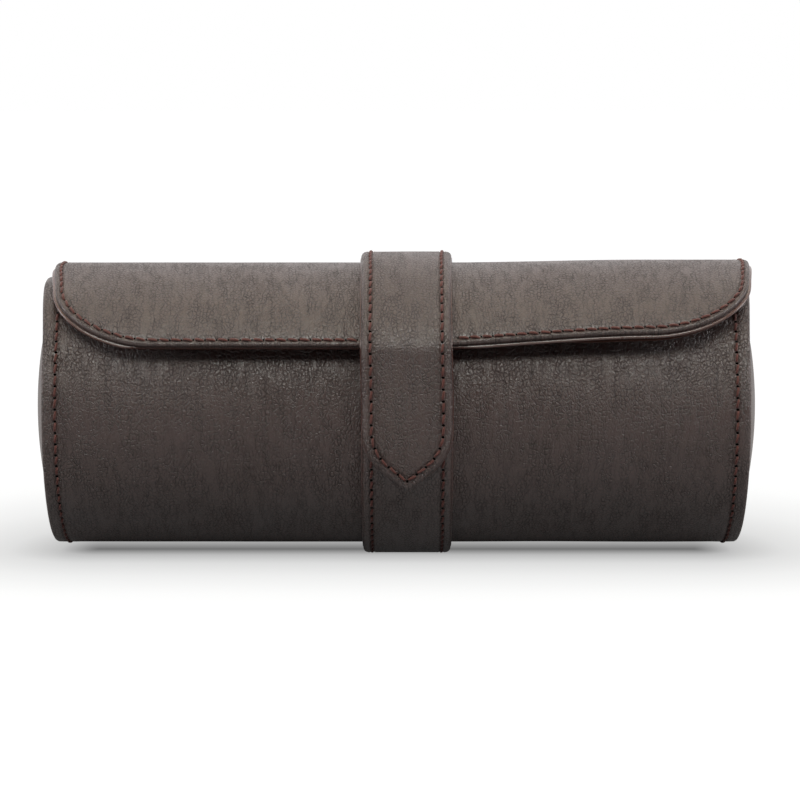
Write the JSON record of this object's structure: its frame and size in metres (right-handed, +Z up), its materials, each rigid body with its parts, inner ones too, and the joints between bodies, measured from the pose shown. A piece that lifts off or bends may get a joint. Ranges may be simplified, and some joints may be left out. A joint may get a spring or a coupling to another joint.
{
  "type": "watch travel case",
  "caption": "Leather barrel case for wristwatches with a hinged lid, a closing strap and lift-out cushions, each in its own compartment.",
  "frame": {"origin": "on the ground, in the middle of the flat that the strap takes where the case stands on it, under the barrel's axis", "axes": "+X along the barrel to the right, as seen from the front, -Y out of the front where the tab hangs, +Z up"},
  "size_m": [0.2382, 0.1049, 0.1014],
  "materials": {
    "case_leather": "satin pebbled",
    "lid_leather": "satin pebbled",
    "strap_leather": "satin creased",
    "strap_backing": "matte",
    "board": "matte fibreboard",
    "lining": "napped suede",
    "cushion_suede": "napped suede",
    "padding": "foam",
    "thread": "waxed",
    "magnet": "plated"
  },
  "bodies": {
    "case": {"shell_leather": "case_leather", "shell_board": "board", "shell_lining": "lining", "left_end_leather": "case_leather", "left_end_padding": "padding", "left_end_board": "board", "left_end_lining": "lining", "right_end_leather": "case_leather", "right_end_padding": "padding", "right_end_board": "board", "right_end_lining": "lining", "left_divider_board": "board", "left_divider_cover": "lining", "right_divider_board": "board", "right_divider_cover": "lining", "lower_strap_leather": "strap_leather", "lower_strap_backing": "strap_backing", "lower_strap_magnet": "magnet", "lower_strap_thread": "thread", "left_end_thread": "thread", "right_end_thread": "thread", "spine_leather": "case_leather", "spine_lining": "lining", "strap_spine": "strap_leather"},
    "lid": {"lid_leather": "lid_leather", "lid_board": "board", "lid_lining": "lining", "lid_thread": "thread", "lid_strap_leather": "strap_leather", "lid_strap_backing": "strap_backing", "lid_strap_thread": "thread", "tab_spine": "strap_leather"},
    "tab": {"tab_leather": "strap_leather", "tab_backing": "strap_backing", "tab_magnet": "magnet", "tab_thread": "thread"},
    "left_cushion": {"left_cushion_cover": "cushion_suede", "left_cushion_core": "padding", "left_cushion_ends": "lining"},
    "centre_cushion": {"centre_cushion_cover": "cushion_suede", "centre_cushion_core": "padding", "centre_cushion_ends": "lining"},
    "right_cushion": {"right_cushion_cover": "cushion_suede", "right_cushion_core": "padding", "right_cushion_ends": "lining"}
  },
  "joints": [
    {"name": "lid_hinge", "type": "hinge", "parent": "case", "child": "lid", "pos_m": [0, 0.03574, 0.07702], "axis": [-1, 0, 0], "range_deg": [0, 120], "deforming": ["spine_leather", "spine_lining", "strap_spine"]},
    {"name": "tab_hinge", "type": "hinge", "parent": "lid", "child": "tab", "pos_m": [0, -0.04855, 0.07579], "axis": [-1, 0, 0], "range_deg": [0, 110], "deforming": ["tab_spine"]},
    {"name": "left_cushion_lift", "type": "slide", "parent": "case", "child": "left_cushion", "axis": [0, 0, 1], "range_m": [0, 0.026]},
    {"name": "centre_cushion_lift", "type": "slide", "parent": "case", "child": "centre_cushion", "axis": [0, 0, 1], "range_m": [0, 0.026]},
    {"name": "right_cushion_lift", "type": "slide", "parent": "case", "child": "right_cushion", "axis": [0, 0, 1], "range_m": [0, 0.026]}
  ]
}
